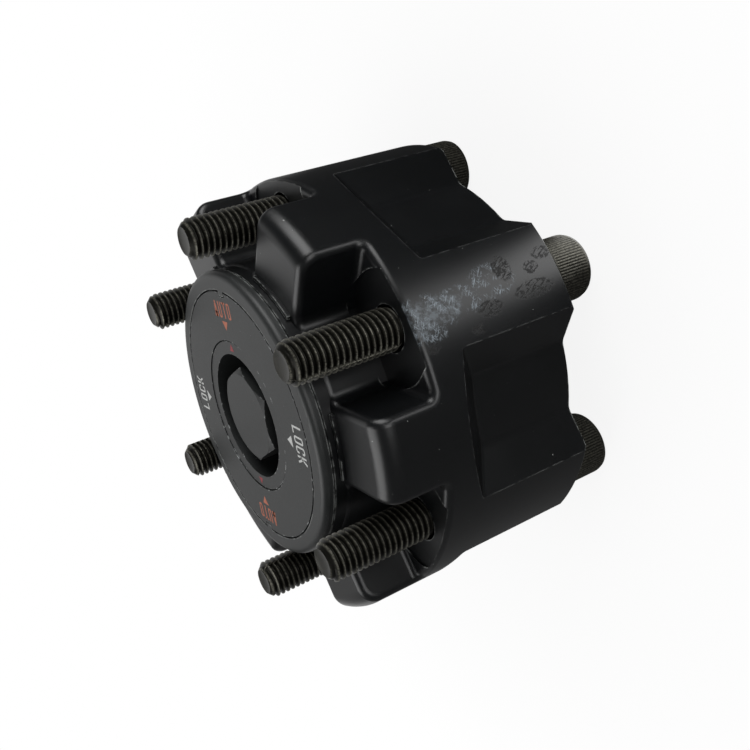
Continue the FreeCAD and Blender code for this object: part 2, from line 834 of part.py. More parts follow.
def shift_spring():
    return coil(
        shift_spring_mean_r, shift_spring_wire, shift_spring_turns, clutch_front_z, follower_rear_z
    )


save("hub_body", hub_body())
save("flange_bolts", flange_bolts())
save("label_plate", label_plate())
save("rear_seal_ring", rear_seal())
save("selector_dial", selector_dial())
save("dial_seal_ring", dial_seal())
save("dial_circlip", dial_circlip())
save("detent_ball", detent_ball())
save("detent_spring", detent_spring())
save("shift_follower", shift_follower())
save("cam_pins", cam_pins())
save("shift_spring", shift_spring())
save("clutch_ring", clutch_ring())
save("follower_circlip", follower_circlip())
save("return_spring", return_spring())
save("drive_hub", drive_hub())
save("drive_circlip", drive_circlip())
save("bearing_inner_ring", bearing_inner_ring())
save("bearing_balls", bearing_balls())
save("bearing_cage", bearing_cage())
save("bearing_outer_ring", bearing_outer_ring())
save("bearing_circlip", bearing_circlip())
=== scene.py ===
import math

import bmesh
import bpy
import numpy as np
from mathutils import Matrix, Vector


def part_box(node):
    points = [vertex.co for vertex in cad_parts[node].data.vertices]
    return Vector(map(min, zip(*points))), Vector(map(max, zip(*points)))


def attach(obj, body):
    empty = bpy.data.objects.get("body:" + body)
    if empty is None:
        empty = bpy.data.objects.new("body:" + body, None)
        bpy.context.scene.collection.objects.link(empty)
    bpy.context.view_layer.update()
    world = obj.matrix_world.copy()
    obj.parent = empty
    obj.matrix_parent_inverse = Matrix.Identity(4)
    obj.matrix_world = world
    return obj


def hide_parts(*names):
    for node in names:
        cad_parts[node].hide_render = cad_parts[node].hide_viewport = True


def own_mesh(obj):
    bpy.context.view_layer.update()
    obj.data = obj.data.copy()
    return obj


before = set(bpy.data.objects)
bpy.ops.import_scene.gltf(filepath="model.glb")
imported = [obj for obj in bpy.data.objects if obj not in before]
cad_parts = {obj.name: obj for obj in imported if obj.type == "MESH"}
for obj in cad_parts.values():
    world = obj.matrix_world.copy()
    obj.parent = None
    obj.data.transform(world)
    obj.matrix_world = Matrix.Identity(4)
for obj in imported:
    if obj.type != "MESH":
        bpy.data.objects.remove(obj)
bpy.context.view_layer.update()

# Looks of a free-wheel hub for a driven front axle. Sizes are in millimetres and angles in degrees.
# +Z runs along the axle towards the dial, and +Y is the side of the upper AUTO mark.
MM = 0.001
sharp_angle = 35.0
rng = np.random.default_rng(7)

# Heights that the solids give
label_face_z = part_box("label_plate")[1].z / MM
dial_face_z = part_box("selector_dial")[1].z / MM
head_face_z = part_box("flange_bolts")[0].z / MM
screw_tip_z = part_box("flange_bolts")[1].z / MM

# Casting
bearing_to_rim = 21.8
body_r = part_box("bearing_outer_ring")[1].x / MM + bearing_to_rim
nose_r = 37.1
rim_height = 2.8
nose_step_z = label_face_z - rim_height

# Wear on the casting's side: soft ovals, each an angle, a height, a half angle and a half height
frosted_places = [(27.5, 40.0, 5.5, 5.5), (28.5, 33.0, 4.0, 6.0)]
scratched_places = [(27.5, 38.0, 6.5, 9.0), (28.8, 29.0, 4.5, 8.0), (31.0, 19.0, 5.0, 7.5)]
chipped_places = [
    (26.0, 9.0, 2.6, 7.0),
    (31.0, 7.5, 2.0, 2.6),
    (33.6, 3.2, 2.0, 3.4),
    (25.0, 22.0, 2.3, 4.2),
    (21.4, 26.5, 1.4, 2.6),
    (21.0, 39.0, 1.6, 2.2),
    (33.0, 15.0, 4.0, 3.0),
]

# Flange screws
screw_count = 6
screw_circle_r = 46.0
first_screw_angle = 90.0
thread_r = 5.0
thread_pitch = 1.5
thread_depth = 0.92
thread_start_z = 41.0
shank_r = 4.5
tip_r = 3.4
tip_cup_r = 2.9
tip_cup_floor_r = 1.6
tip_cup_depth = 0.25
head_r = 8.0
head_chamfer = 0.7
head_back_inset = 0.1
head_back_chamfer = 0.25
socket_flats = 8.0
socket_depth = 5.5
socket_cone_depth = 0.9
socket_mouth_depth = 0.45
socket_mouth_margin = 0.15
knurl_ribs = 72
knurl_depth = 0.22
knurl_start = 1.0
knurl_end = 9.2
knurl_run_in = 0.3
knurl_wear = 0.55
head_rim_wear = 0.35
head_wear = 0.2
tip_wear = 0.1
crest_wear_from = 0.55

# Form of the thread over one pitch: share of the pitch, and height from 0 at the root to 1 at the crest
thread_form = [
    (0.0, 1.0),
    (0.06, 1.0),
    (0.125, 1.0),
    (0.23, 0.66),
    (0.33, 0.33),
    (0.4375, 0.0),
    (0.5625, -0.05),
    (0.6875, 0.0),
    (0.79, 0.33),
    (0.9, 0.66),
]

# Return spring, which the clutch ring squeezes when the dial goes to LOCK
coil_mean_r = 21.7
coil_wire_r = 0.7
coil_turns = 4.5

# Printed marks
ink_height = 0.02
stroke = 0.5
letter_height = 4.1
auto_letter_width = 1.75
auto_letter_step = 2.55
auto_foot_r = 25.8
lock_letter_width = 1.9
lock_letter_step = 2.5
lock_foot_r = 26.4
arrow_tip_r = 22.6
arrow_base_r = 24.9
arrow_half_width = 1.55
dial_mark_tip_r = 19.1
dial_mark_base_r = 17.2
dial_mark_half_width = 1.05

# Camera that matches the photograph
camera_place = (192.74, 74.99, 136.05)
camera_angles = (-36.891, 58.374, -20.047)
camera_lens = 41.81
camera_shift = (0.0702, 0.0193)
camera_sensor_width = 36.0
camera_near = 10.0

# Floor and light
pure_white = (1.0, 1.0, 1.0, 1.0)
floor_half_width = 3000.0
floor_gap = 0.02
floor_whiteness = 0.88
shadow_inner_r = 70.0
shadow_outer_r = 200.0
sky_level = 0.32
lamp_aim = (0.0, 0.0, 25.0)

# Painted reflections, seen only by reflections: directions from the object, the angles where each is full and
# gone, and levels. The side and back glows are painted highlights, not lamps.
floor_slope = 0.5
painted_side_glow_way = (0.733, 0.513, -0.447)
painted_side_glow_angles = (1.5, 8.5)
painted_side_glow_level = 2.8
painted_back_glow_way = (-0.90, 0.00, 0.52)
painted_back_glow_angles = (10.0, 27.0)
painted_back_glow_level = 0.75
backdrop_way = (-0.80, -0.31, -0.51)
backdrop_angles = (28.0, 58.0)
room_level_below = 0.16
room_level_above = 0.02


def linear(hex_colour):
    """Linear colour of an sRGB hex code: each channel c becomes c/12.92, or ((c+0.055)/1.055)^2.4."""
    digits = hex_colour.lstrip("#")
    channels = [int(digits[i:i + 2], 16) / 255 for i in (0, 2, 4)]
    bent = [c / 12.92 if c <= 0.04045 else ((c + 0.055) / 1.055) ** 2.4 for c in channels]
    return (*bent, 1.0)


def per_metre(size):
    """Texture scale at which one noise cell is about this many millimetres."""
    return 1 / (size * MM)


def new_material(name):
    """Material with an empty node tree."""
    material = bpy.data.materials.new(name)
    material.use_nodes = True
    material.node_tree.nodes.clear()
    return material


def add(tree, kind, inputs=(), out=0, **settings):
    """Adds one shader node with its settings, fills or links its inputs and gives back one output."""
    made = tree.nodes.new("ShaderNode" + kind)
    for name, value in settings.items():
        setattr(made, name, value)
    pairs = inputs.items() if isinstance(inputs, dict) else enumerate(inputs)
    for key, value in pairs:
        if isinstance(key, str):
            socket = next(s for s in made.inputs if key in (s.identifier, s.name))
        else:
            socket = made.inputs[key]
        if isinstance(value, bpy.types.NodeSocket):
            tree.links.new(value, socket)
        else:
            socket.default_value = value
    if isinstance(out, str):
        return next(s for s in made.outputs if out in (s.identifier, s.name))
    return made.outputs[out] if made.outputs else made


def finish_material(material, shader):
    """Sends a shader to the material's output."""
    tree = material.node_tree
    output = tree.nodes.new("ShaderNodeOutputMaterial")
    tree.links.new(shader, output.inputs["Surface"])
    return material


def object_place(tree):
    """Place on the object, in metres."""
    return add(tree, "TexCoord", out="Object")


def axle_coordinates(tree, place):
    """Angle about the axle in degrees, distance from it and height, both in millimetres."""
    scaled = add(tree, "VectorMath", {0: place, "Scale": 1 / MM}, operation="SCALE")
    parts = tree.nodes.new("ShaderNodeSeparateXYZ")
    tree.links.new(scaled, parts.inputs[0])
    x, y, z = parts.outputs
    turn = add(tree, "Math", (y, x), operation="ARCTAN2")
    angle = add(tree, "Math", (turn,), operation="DEGREES")
    square_x = add(tree, "Math", (x, x), operation="MULTIPLY")
    square_r = add(tree, "Math", (y, y, square_x), operation="MULTIPLY_ADD")
    radius = add(tree, "Math", (square_r,), operation="SQRT")
    return angle, radius, z


def patch(tree, angle, z, centre_angle, centre_z, half_angle, half_z):
    """Soft oval on the body's side: 1 in the middle, 0 past its half sizes."""
    across = add(tree, "Math", (angle, centre_angle), operation="SUBTRACT")
    across = add(tree, "Math", (across, half_angle), operation="DIVIDE")
    along = add(tree, "Math", (z, centre_z), operation="SUBTRACT")
    along = add(tree, "Math", (along, half_z), operation="DIVIDE")
    square = add(tree, "Math", (across, across), operation="MULTIPLY")
    square = add(tree, "Math", (along, along, square), operation="MULTIPLY_ADD")
    return step_up(tree, square, 1.0, 0.0)


def noise(tree, place, cell, detail=3.0, roughness=0.55, stretch=None):
    """Noise with cells of a size in millimetres, drawn out along the axes by stretch."""
    if stretch:
        place = add(tree, "VectorMath", (place, stretch), operation="MULTIPLY")
    inputs = {"Vector": place, "Scale": per_metre(cell), "Detail": detail, "Roughness": roughness}
    return add(tree, "TexNoise", inputs, out="Fac")


def step_up(tree, value, low, high):
    """0 below low, 1 above high and smooth between."""
    inputs = {"Value": value, "From Min": low, "From Max": high}
    return add(tree, "MapRange", inputs, interpolation_type="SMOOTHSTEP")


def colour_between(tree, share, low, high):
    """Low colour at share 0, high colour at share 1."""
    inputs = {"Factor_Float": share, "A_Color": low, "B_Color": high}
    return add(tree, "Mix", inputs, out="Result_Color", data_type="RGBA")


def number_between(tree, share, low, high):
    """Low number at share 0, high number at share 1."""
    return add(tree, "MapRange", {"Value": share, "To Min": low, "To Max": high})


def times(tree, *values):
    """Product of several values."""
    result = values[0]
    for value in values[1:]:
        result = add(tree, "Math", (result, value), operation="MULTIPLY")
    return result


def largest(tree, first, *others):
    """The largest of several values."""
    result = first
    for value in others:
        result = add(tree, "Math", (result, value), operation="MAXIMUM")
    return result


def worn_edge(tree, reach):
    """1 on outside edges, found by how soon rays that start under the surface come out again."""
    inside = add(tree, "AmbientOcclusion", {"Distance": reach * MM}, out="AO", samples=6, inside=True)
    return step_up(tree, inside, 0.92, 0.62)


def scratches(tree, around, along, lean, length, width, low, high):
    """Short scratches on the unrolled side, leaning from the rim's direction: noise drawn out along them.
    The lean is also the noise's third coordinate, so each set of scratches has a pattern of its own."""
    flat = add(tree, "CombineXYZ", (around, along, lean))
    turned = add(tree, "VectorRotate", {"Vector": flat, "Angle": math.radians(lean)}, rotation_type="Z_AXIS")
    drawn = add(tree, "VectorMath", (turned, (1 / length, 1 / width, 1.0)), operation="MULTIPLY")
    field = add(tree, "TexNoise", {"Vector": drawn, "Scale": 1.0, "Detail": 2.0, "Roughness": 0.6}, out="Fac")
    return step_up(tree, field, low, high)


def zones(tree, angle, z, places):
    """Joins soft ovals, each given as angle, height, half angle and half height."""
    return largest(tree, *[patch(tree, angle, z, *place) for place in places])


def casting_paint():
    """Satin black stoving paint on a cast body: near black, fine orange peel, rubbed and chipped.
    The turned nose wears the label's charcoal."""
    material = new_material("satin_black_paint_on_casting")
    tree = material.node_tree
    place = object_place(tree)
    angle, radius, z = axle_coordinates(tree, place)
    around = times(tree, angle, body_r * math.pi / 180)

    base = colour_between(tree, noise(tree, place, 9.0, 4.0), linear("#050607"), linear("#0a0c0e"))
    low_nose = step_up(tree, z, nose_step_z - 0.15, nose_step_z)
    inside_rim = step_up(tree, radius, nose_r + 0.3, nose_r + 0.1)
    nose = times(tree, low_nose, inside_rim)
    base = colour_between(tree, nose, base, linear("#1e2020"))

    outside = step_up(tree, radius, body_r - 1.2, body_r - 0.4)
    frosted = zones(tree, angle, z, frosted_places)
    rubbed = zones(tree, angle, z, scratched_places)
    tatter = step_up(tree, noise(tree, place, 1.6, 5.0, 0.75), 0.40, 0.62)
    bloom = times(tree, step_up(tree, frosted, 0.05, 0.7), tatter)
    crossed = largest(
        tree,
        scratches(tree, around, z, 35.0, 2.6, 0.3, 0.54, 0.64),
        scratches(tree, around, z, -28.0, 2.0, 0.26, 0.56, 0.66),
        scratches(tree, around, z, 80.0, 1.6, 0.3, 0.58, 0.68),
    )
    clumps = step_up(tree, noise(tree, place, 3.2, 3.0, 0.6), 0.42, 0.56)
    lines = times(tree, step_up(tree, rubbed, 0.02, 0.5), crossed, clumps)
    scuff = times(tree, outside, largest(tree, times(tree, bloom, 0.45), lines))

    lifted = zones(tree, angle, z, chipped_places)
    flaked = largest(
        tree,
        step_up(tree, noise(tree, place, 1.2, 5.0, 0.75), 0.50, 0.55),
        scratches(tree, around, z, 62.0, 2.2, 0.4, 0.52, 0.58),
    )
    chip = times(tree, outside, step_up(tree, lifted, 0.08, 0.45), flaked)

    edge = worn_edge(tree, 0.4)
    edge_gaps = step_up(tree, noise(tree, place, 2.2, 5.0, 0.65), 0.42, 0.58)
    bare = times(tree, edge, edge_gaps)
    speck = step_up(tree, noise(tree, place, 0.7, 1.0), 0.80, 0.83)

    shown = colour_between(tree, times(tree, scuff, 0.85), base, linear("#757e85"))
    shown = colour_between(tree, largest(tree, times(tree, bare, 0.8), speck), shown, linear("#7d7f7d"))
    shown = colour_between(tree, chip, shown, linear("#050505"))

    peel = noise(tree, place, 0.9, 2.0)
    gloss = number_between(tree, noise(tree, place, 14.0, 3.0), 0.30, 0.38)
    gloss = number_between(tree, largest(tree, scuff, nose), gloss, 0.46)
    gloss = number_between(tree, chip, gloss, 0.75)
    lift = add(tree, "Math", (times(tree, scuff, 0.5), times(tree, peel, 0.25)), operation="ADD")
    lift = add(tree, "Math", (lift, times(tree, chip, 0.3)), operation="SUBTRACT")
    relief = add(tree, "Bump", {"Strength": 0.35, "Distance": 0.06 * MM, "Height": lift})
    shader = add(tree, "BsdfPrincipled", {
        "Base Color": shown,
        "Roughness": gloss,
        "Normal": relief,
    })
    return finish_material(material, shader)


def screw_steel():
    """Oiled black phosphate on alloy steel: olive black, with the crests rubbed to bright steel."""
    material = new_material("phosphated_screw_steel")
    tree = material.node_tree
    place = object_place(tree)
    crest = add(tree, "Attribute", out="Fac", attribute_name="rubbed")
    grain = noise(tree, place, 0.5, 4.0, 0.7)
    stain = noise(tree, place, 4.0, 3.0)
    bright = times(tree, crest, step_up(tree, grain, 0.25, 0.7))
    base = colour_between(tree, stain, linear("#0d0c09"), linear("#1a1913"))
    shown = colour_between(tree, times(tree, bright, 0.7), base, linear("#929084"))
    relief = add(tree, "Bump", {"Strength": 0.4, "Distance": 0.03 * MM, "Height": grain})
    shader = add(tree, "BsdfPrincipled", {
        "Base Color": shown,
        "Metallic": 0.75,
        "Roughness": number_between(tree, grain, 0.32, 0.5),
        "Normal": relief,
    })
    return finish_material(material, shader)


def charcoal_enamel(name, dark, light):
    """Charcoal enamel on sheet or turned steel: flat grey, finely pitted, with bright flecks at its edges."""
    material = new_material(name)
    tree = material.node_tree
    place = object_place(tree)
    base = colour_between(tree, noise(tree, place, 6.0, 4.0), linear(dark), linear(light))
    speck = step_up(tree, noise(tree, place, 0.5, 1.0), 0.79, 0.82)
    edge = worn_edge(tree, 0.35)
    flecks = times(tree, edge, step_up(tree, noise(tree, place, 1.6, 4.0, 0.65), 0.56, 0.62))
    shown = colour_between(tree, largest(tree, times(tree, speck, 0.5), flecks), base, linear("#9da0a0"))
    grain = noise(tree, place, 0.35, 3.0)
    relief = add(tree, "Bump", {"Strength": 0.25, "Distance": 0.03 * MM, "Height": grain})
    shader = add(tree, "BsdfPrincipled", {
        "Base Color": shown,
        "Roughness": number_between(tree, grain, 0.42, 0.56),
        "Normal": relief,
    })
    return finish_material(material, shader)


def printing_ink(name, colour):
    """Screen-printing ink: flat colour, thin and slightly uneven, so the plate shows through in spots."""
    material = new_material(name)
    tree = material.node_tree
    place = object_place(tree)
    worn = step_up(tree, noise(tree, place, 0.5, 3.0), 0.62, 0.75)
    shown = colour_between(tree, times(tree, worn, 0.6), linear(colour), linear("#2b2d2d"))
    shader = add(tree, "BsdfPrincipled", {"Base Color": shown, "Roughness": 0.5})
    return finish_material(material, shader)


def moulded_rubber():
    """Moulded nitrile rubber: soft black with an oily bloom in patches."""
    material = new_material("moulded_nitrile_rubber")
    tree = material.node_tree
    place = object_place(tree)
    bloom = noise(tree, place, 3.0, 4.0)
    shown = colour_between(tree, bloom, linear("#0c0c0c"), linear("#1b1b1c"))
    relief = add(tree, "Bump", {"Strength": 0.2, "Distance": 0.02 * MM, "Height": noise(tree, place, 0.3)})
    shader = add(tree, "BsdfPrincipled", {
        "Base Color": shown,
        "Roughness": number_between(tree, bloom, 0.5, 0.7),
        "Normal": relief,
    })
    return finish_material(material, shader)


def plain_steel(name, dark, light, rough_low, rough_high, ring_spacing):
    """Steel with fine rings left by turning or grinding, which spread its highlights across them."""
    material = new_material(name)
    tree = material.node_tree
    place = object_place(tree)
    _, radius, z = axle_coordinates(tree, place)
    along = add(tree, "Math", (radius, z), operation="ADD")
    track = add(tree, "CombineXYZ", (along, 0.0, 0.0))
    rings = add(tree, "TexNoise", {"Vector": track, "Scale": 1 / ring_spacing, "Detail": 3.0}, out="Fac")
    stain = noise(tree, place, 5.0, 4.0)
    shown = colour_between(tree, stain, linear(dark), linear(light))
    relief = add(tree, "Bump", {"Strength": 0.3, "Distance": 0.01 * MM, "Height": rings})
    shader = add(tree, "BsdfPrincipled", {
        "Base Color": shown,
        "Metallic": 1.0,
        "Roughness": number_between(tree, rings, rough_low, rough_high),
        "Normal": relief,
    })
    return finish_material(material, shader)


def merged_mesh(name, points, faces, wear=None):
    """Mesh from points in millimetres, with points that meet joined and its bent edges drawn sharp.
    Where wear is given, each point keeps its own as the attribute that the steel's colour reads."""
    mesh = bpy.data.meshes.new(name)
    mesh.from_pydata((points * MM).tolist(), [], faces)
    if wear is not None:
        layer = mesh.attributes.new("rubbed", "FLOAT", "POINT")
        layer.data.foreach_set("value", wear.astype(np.float32))
    work = bmesh.new()
    work.from_mesh(mesh)
    bmesh.ops.remove_doubles(work, verts=work.verts, dist=1e-4 * MM)
    bmesh.ops.recalc_face_normals(work, faces=work.faces)
    work.to_mesh(mesh)
    work.free()
    mesh.shade_smooth()
    mesh.set_sharp_from_angle(angle=math.radians(sharp_angle))
    piece = bpy.data.objects.new(name, mesh)
    bpy.context.scene.collection.objects.link(piece)
    return piece


def ring_faces(rows, columns, first=0):
    """Quads of a grid of rows, each closed on itself."""
    row = np.arange(rows - 1)[:, None] * columns
    here = np.arange(columns)[None, :]
    after = (here + 1) % columns
    quads = np.stack([row + here, row + after, row + columns + after, row + columns + here], -1)
    return (quads.reshape(-1, 4) + first).tolist()


def round_grid(radius, height, columns):
    """Points at angle 360*i/columns, with radius and height given per row and column."""
    turn = 2 * math.pi * np.arange(columns) / columns
    radius = np.broadcast_to(radius, (len(radius), columns))
    height = np.broadcast_to(height, (len(height), columns))
    return np.stack([radius * np.cos(turn), radius * np.sin(turn), height], -1)


def spun(points, angle):
    """Points turned about Z by an angle: x cos - y sin, and x sin + y cos."""
    turn = math.radians(angle)
    x = points[:, 0] * math.cos(turn) - points[:, 1] * math.sin(turn)
    y = points[:, 0] * math.sin(turn) + points[:, 1] * math.cos(turn)
    return np.column_stack([x, y, points[:, 2]])


def screw_head(columns):
    """Head of a socket screw: a profile turned about Z. The knurl adds depth*|sin| to the side, and the
    socket's rows follow a hexagon, whose radius is flats/2 over the cosine of the angle from a flat."""
    turn = 2 * math.pi * np.arange(columns) / columns
    from_flat = (turn + math.pi / 6) % (math.pi / 3) - math.pi / 6
    hexagon = socket_flats / 2 / np.cos(from_flat)
    mouth_r = socket_flats / 2 / math.cos(math.pi / 6) + socket_mouth_margin
    floor_z = head_face_z + socket_depth
    side = knurl_depth * (np.abs(np.sin(turn * knurl_ribs / 2)) - 1)
    plain = np.zeros(columns)
    rows = [
        (plain, floor_z + socket_cone_depth),
        (hexagon * 0.97, floor_z),
        (hexagon, floor_z - 0.1),
        (hexagon, head_face_z + socket_mouth_depth),
        (plain + mouth_r, head_face_z),
        (plain + head_r - head_chamfer, head_face_z),
        (plain + head_r - head_chamfer * 0.4, head_face_z + head_chamfer * 0.35),
        (plain + head_r - 0.05, head_face_z + knurl_start),
        (side + head_r, head_face_z + knurl_start + knurl_run_in),
        (side + head_r, head_face_z + knurl_end),
        (plain + head_r - head_back_inset, head_face_z + knurl_end + knurl_run_in),
        (plain + head_r - head_back_inset, -head_back_chamfer),
        (plain + head_r - head_back_inset - head_back_chamfer, 0.0),
        (plain + shank_r, 0.0),
        (plain, 0.0),
    ]
    radius = np.array([row[0] for row in rows])
    height = np.array([[row[1]] for row in rows])
    rib = np.clip((side + knurl_depth) / knurl_depth, 0, 1)
    wear = np.full((len(rows), columns), head_wear)
    wear[8:10] = rib * knurl_wear
    wear[5:8] = head_rim_wear
    return round_grid(radius, height, columns), wear


def threaded_shank(columns):
    """Shank whose last stretch is a metric thread. Each row of points is one line of the thread's form,
    carried round the axis and raised by one pitch a turn, and held between the thread's two ends."""
    shares, crests = np.array(thread_form).T
    turns = math.ceil((screw_tip_z - thread_start_z) / thread_pitch) + 1
    line_z = (np.arange(turns)[:, None] + shares[None, :] - 1).reshape(-1) * thread_pitch
    crest = np.tile(crests, turns)
    turn = np.arange(columns) / columns
    height = thread_start_z + line_z[:, None] + thread_pitch * turn[None, :]
    radius = thread_r - thread_depth * (1 - crest[:, None]) + 0 * height
    fade = np.clip((height - thread_start_z) / thread_pitch, 0, 1)
    radius = shank_r + (radius - shank_r) * fade
    cone = tip_r + (screw_tip_z - height)
    radius = np.minimum(radius, np.maximum(cone, tip_r))
    height = np.clip(height, thread_start_z, screw_tip_z)
    rubbed = np.clip(crest[:, None] - crest_wear_from, 0, 1) / (1 - crest_wear_from) + 0 * height
    rubbed = rubbed * fade
    start_rows = np.array([(0.0, 0.5), (shank_r, 0.5), (shank_r, thread_start_z)])
    end_rows = np.array([
        (tip_r, screw_tip_z),
        (tip_r - 0.2, screw_tip_z),
        (tip_cup_r, screw_tip_z - 0.1),
        (tip_cup_floor_r, screw_tip_z - tip_cup_depth),
        (0.0, screw_tip_z - tip_cup_depth - 0.05),
    ])
    start = round_grid(start_rows[:, :1], start_rows[:, 1:], columns)
    end = round_grid(end_rows[:, :1], end_rows[:, 1:], columns)
    middle = round_grid(radius, height, columns)
    tip = np.full((len(end_rows), columns), tip_wear)
    wear = np.concatenate([np.zeros((len(start_rows), columns)), rubbed, tip])
    return np.concatenate([start, middle, end]), wear


def flange_screw(number, material):
    """One socket screw of two closed skins, head and shank, at its place on the bolt circle."""
    head, wear_of_head = screw_head(knurl_ribs * 4)
    shank, wear_of_shank = threaded_shank(72)
    faces = ring_faces(*head.shape[:2]) + ring_faces(*shank.shape[:2], first=wear_of_head.size)
    points = np.concatenate([head.reshape(-1, 3), shank.reshape(-1, 3)])
    wear = np.concatenate([wear_of_head.ravel(), wear_of_shank.ravel()])
    turned = spun(points, rng.uniform(0, 360))
    where = math.radians(first_screw_angle - 360 / screw_count * number)
    turned[:, 0] += screw_circle_r * math.cos(where)
    turned[:, 1] += screw_circle_r * math.sin(where)
    piece = merged_mesh(f"flange_screw_{number + 1}", turned, faces, wear)
    piece.data.materials.append(material)
    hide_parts("flange_bolts")
    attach(piece, "casing")


def return_coil(material):
    """Round wire carried along a helix: its centre keeps the mean radius and climbs evenly from seat to
    seat, and each section is a circle in the plane of the axis. The ends close to their centres."""
    low, high = (corner.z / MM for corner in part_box("return_spring"))
    steps, sides = 360, 16
    share = np.linspace(0, 1, steps)
    share = np.concatenate([share[:1], share, share[-1:]])
    size = np.full(len(share), coil_wire_r)
    size[[0, -1]] = 0
    turn = 2 * math.pi * coil_turns * share
    climb = low + coil_wire_r + (high - low - 2 * coil_wire_r) * share
    around = 2 * math.pi * np.arange(sides) / sides
    radius = coil_mean_r + size[:, None] * np.cos(around)
    height = climb[:, None] + size[:, None] * np.sin(around)
    points = np.stack([radius * np.cos(turn)[:, None], radius * np.sin(turn)[:, None], height], -1)
    piece = merged_mesh("return_coil", points.reshape(-1, 3), ring_faces(len(share), sides))
    piece.data.materials.append(material)
    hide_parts("return_spring")
    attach(piece, "drive")
    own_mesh(piece)


def outline_of(points, closed):
    """Edges of a stroke of even width along a line: each point moves half a width along the mean of its
    two sides' normals, over the cosine of half the bend, to the left and to the right."""
    line = np.array(points, float)
    before = line - np.roll(line, 1, 0)
    after = np.roll(line, -1, 0) - line
    if not closed:
        before[0] = after[0]
        after[-1] = before[-1]
    before /= np.linalg.norm(before, axis=1)[:, None]
    after /= np.linalg.norm(after, axis=1)[:, None]
    normal_before = np.stack([-before[:, 1], before[:, 0]], 1)
    normal_after = np.stack([-after[:, 1], after[:, 0]], 1)
    middle = normal_before + normal_after
    middle /= np.linalg.norm(middle, axis=1)[:, None]
    reach = stroke / 2 / np.sum(middle * normal_before, 1)
    left = line + middle * reach[:, None]
    right = line - middle * reach[:, None]
    if closed:
        return [left, right]
    return [np.concatenate([left, right[::-1]])]


def rounded_frame(width, height, corner, opening=0.0):
    """Centre line of an O, or of a C whose right side is open over a share of its height."""
    bend = [i * math.pi / 8 for i in range(5)]
    corners = [(width - corner, height - corner, 0), (corner, height - corner, math.pi / 2),
               (corner, corner, math.pi), (width - corner, corner, 1.5 * math.pi)]
    points = [(x + corner * math.cos(start + a), y + corner * math.sin(start + a))
              for x, y, start in corners for a in bend]
    if opening:
        low = (width, height * (0.5 - opening / 2))
        high = (width, height * (0.5 + opening / 2))
        points = [high] + points + [low]
    return points


def letter_lines(letter, width):
    """Centre lines of one letter, each with whether it closes on itself."""
    inset = stroke / 2
    w, h = width - stroke, letter_height - stroke
    bow = 0.32 * w
    left_leg = [(0, h), (0, bow), (bow * 0.3, bow * 0.3), (bow, 0)]
    lines = {
        "A": [
            ([(0, 0), (w * 0.44, h), (w * 0.56, h), (w, 0)], False),
            ([(w * 0.2, h * 0.24), (w * 0.8, h * 0.24)], False),
        ],
        "U": [(left_leg + [(w - x, y) for x, y in reversed(left_leg)], False)],
        "T": [([(-0.15, h), (w + 0.15, h)], False), ([(w / 2, h), (w / 2, 0)], False)],
        "O": [(rounded_frame(w, h, bow), True)],
        "L": [([(0, h), (0, 0), (w, 0)], False)],
        "C": [(rounded_frame(w, h, bow, 0.42), False)],
        "K": [
            ([(0, 0), (0, h)], False),
            ([(w, h), (0.1, h * 0.36)], False),
            ([(w * 0.4, h * 0.55), (w, 0)], False),
        ],
    }
    moved = []
    for points, closed in lines[letter]:
        line = np.array(points, float) + inset
        if not closed:
            first, last = line[0] - line[1], line[-1] - line[-2]
            line[0] += first / np.linalg.norm(first) * inset * (letter != "C")
            line[-1] += last / np.linalg.norm(last) * inset * (letter != "C")
        moved.append((line, closed))
    return moved


def printed(name, outlines, angle, face_z, material, body, slot_name):
    """Flat mark: filled outlines, given a thin ink height, turned to an angle and set on a face."""
    vertices = np.zeros((0, 3))
    faces = []
    for group in outlines:
        curve = bpy.data.curves.new(name, "CURVE")
        curve.dimensions = "2D"
        curve.fill_mode = "BOTH"
        curve.extrude = ink_height / 2
        for outline in group:
            spline = curve.splines.new("POLY")
            spline.points.add(len(outline) - 1)
            flat = np.column_stack([outline, np.zeros(len(outline)), np.ones(len(outline))])
            spline.points.foreach_set("co", flat.ravel())
            spline.use_cyclic_u = True
        holder = bpy.data.objects.new(name, curve)
        mesh = bpy.data.meshes.new_from_object(holder)
        corners = np.zeros(3 * len(mesh.vertices))
        mesh.vertices.foreach_get("co", corners)
        indices = np.zeros(len(mesh.loops), int)
        mesh.loops.foreach_get("vertex_index", indices)
        starts = np.zeros(len(mesh.polygons), int)
        mesh.polygons.foreach_get("loop_start", starts)
        faces += [face.tolist() for face in np.split(indices + len(vertices), starts[1:])]
        vertices = np.concatenate([vertices, corners.reshape(-1, 3)])
        bpy.data.objects.remove(holder)
        bpy.data.curves.remove(curve)
        bpy.data.meshes.remove(mesh)
    placed = spun(vertices, angle - 90)
    placed[:, 2] += face_z + ink_height * 0.4
    piece = merged_mesh(name, placed, faces)
    piece.data.materials.append(material)
    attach(piece, body)


def word_outlines(word, width, step, foot_r):
    """Outlines of a word that reads along X, centred, with its feet at a distance from the axle."""
    start = -(step * (len(word) - 1) + width) / 2
    groups = []
    for index, letter in enumerate(word):
        shift = np.array([start + index * step, foot_r])
        for line, closed in letter_lines(letter, width):
            groups.append([outline + shift for outline in outline_of(line, closed)])
    return groups


def triangle(tip_r, base_r, half_width):
    """Arrow head on the radius, from two base corners to its tip."""
    return [[np.array([(-half_width, base_r), (0.0, tip_r), (half_width, base_r)])]]


